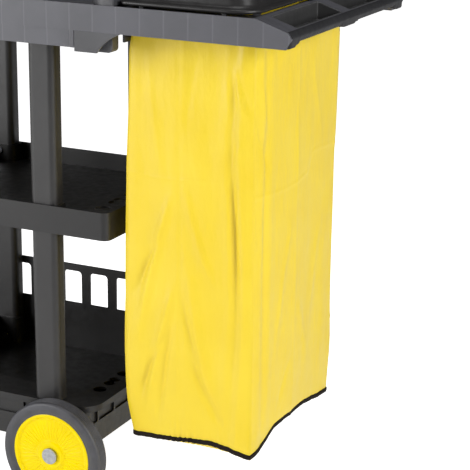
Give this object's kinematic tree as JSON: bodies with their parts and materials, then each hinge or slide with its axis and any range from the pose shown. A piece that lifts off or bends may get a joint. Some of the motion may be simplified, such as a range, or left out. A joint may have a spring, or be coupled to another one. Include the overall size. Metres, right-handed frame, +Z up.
{
  "type": "housekeeping cart",
  "caption": "Moulded housekeeping cart with a lidded yellow waste bag, open shelves, a top tray and a bucket platform, rolling on fixed rear wheels and swivel casters.",
  "frame": {"origin": "on the floor under the middle of the cart, half way between the platform's front and the handle's nose", "axes": "+X towards the bag and the push handle, +Y towards the fenced side, +Z up"},
  "size_m": [1.185, 0.508, 0.9752],
  "materials": {
    "frame_plastic": "moulded charcoal polyethylene",
    "shelf_plastic": "moulded black polypropylene",
    "post_plastic": "moulded black polypropylene",
    "dark_plastic": "moulded dark polypropylene",
    "bag_fabric": "coated yellow nylon",
    "binding_tape": "woven black tape",
    "zinc_steel": "zinc plated",
    "bush_plastic": "moulded acetal",
    "tyre_rubber": "grey-black moulded rubber",
    "hub_plastic": "bright yellow polypropylene",
    "bumper_rubber": "soft black rubber"
  },
  "bodies": {
    "cart": {"base_platform": "shelf_plastic", "lower_shelf": "shelf_plastic", "guard_fence": "shelf_plastic", "lower_post_rear_left": "post_plastic", "lower_post_rear_right": "post_plastic", "lower_post_front_left": "post_plastic", "lower_post_front_right": "post_plastic", "middle_shelf": "shelf_plastic", "upper_post_rear_left": "post_plastic", "upper_post_rear_right": "post_plastic", "upper_post_front_left": "post_plastic", "upper_post_front_right": "post_plastic", "top_tray": "frame_plastic", "bag_frame": "frame_plastic", "handle_pockets": "dark_plastic", "frame_bracket_left": "frame_plastic", "frame_bracket_right": "frame_plastic", "hinge_rail": "frame_plastic", "rail_screws": "zinc_steel", "hinge_pins": "zinc_steel", "waste_bag": "bag_fabric", "bag_binding": "binding_tape", "base_bolts": "zinc_steel", "shelf_bolts": "zinc_steel", "tray_bolts": "zinc_steel", "rear_axle": "zinc_steel", "axle_spacers": "bush_plastic", "axle_caps": "zinc_steel", "caster_plate_left": "zinc_steel", "caster_plate_right": "zinc_steel", "caster_bolts": "zinc_steel", "tool_hook_left": "dark_plastic", "tool_hook_right": "dark_plastic", "tool_cup_left": "dark_plastic", "tool_cup_right": "dark_plastic"},
    "bag_lid": {"lid_shell": "dark_plastic", "lid_bumpers": "bumper_rubber"},
    "rear_wheel_left": {"rear_tyre_left": "tyre_rubber", "rear_hub_left": "hub_plastic", "rear_bush_left": "bush_plastic"},
    "caster_left": {"caster_fork_left": "zinc_steel", "caster_axle_left": "zinc_steel"},
    "caster_wheel_left": {"caster_tyre_left": "tyre_rubber", "caster_hub_left": "bush_plastic"},
    "rear_wheel_right": {"rear_tyre_right": "tyre_rubber", "rear_hub_right": "hub_plastic", "rear_bush_right": "bush_plastic"},
    "caster_right": {"caster_fork_right": "zinc_steel", "caster_axle_right": "zinc_steel"},
    "caster_wheel_right": {"caster_tyre_right": "tyre_rubber", "caster_hub_right": "bush_plastic"}
  },
  "joints": [
    {"name": "lid_hinge", "type": "hinge", "parent": "cart", "child": "bag_lid", "pos_m": [0.266, 0, 0.955], "axis": [0, -1, 0], "range_deg": [0, 100]},
    {"name": "rear_wheel_left_roll", "type": "hinge", "parent": "cart", "child": "rear_wheel_left", "pos_m": [0.1214, -0.218, 0.1016], "axis": [0, 1, 0], "continuous": true},
    {"name": "caster_left_swivel", "type": "hinge", "parent": "cart", "child": "caster_left", "pos_m": [-0.5, -0.142, 0.11], "axis": [0, 0, 1], "continuous": true},
    {"name": "caster_wheel_left_roll", "type": "hinge", "parent": "caster_left", "child": "caster_wheel_left", "pos_m": [-0.468, -0.142, 0.05], "axis": [0, 1, 0], "continuous": true},
    {"name": "rear_wheel_right_roll", "type": "hinge", "parent": "cart", "child": "rear_wheel_right", "pos_m": [0.1214, 0.218, 0.1016], "axis": [0, 1, 0], "continuous": true},
    {"name": "caster_right_swivel", "type": "hinge", "parent": "cart", "child": "caster_right", "pos_m": [-0.5, 0.142, 0.11], "axis": [0, 0, 1], "continuous": true},
    {"name": "caster_wheel_right_roll", "type": "hinge", "parent": "caster_right", "child": "caster_wheel_right", "pos_m": [-0.468, 0.142, 0.05], "axis": [0, 1, 0], "continuous": true}
  ]
}
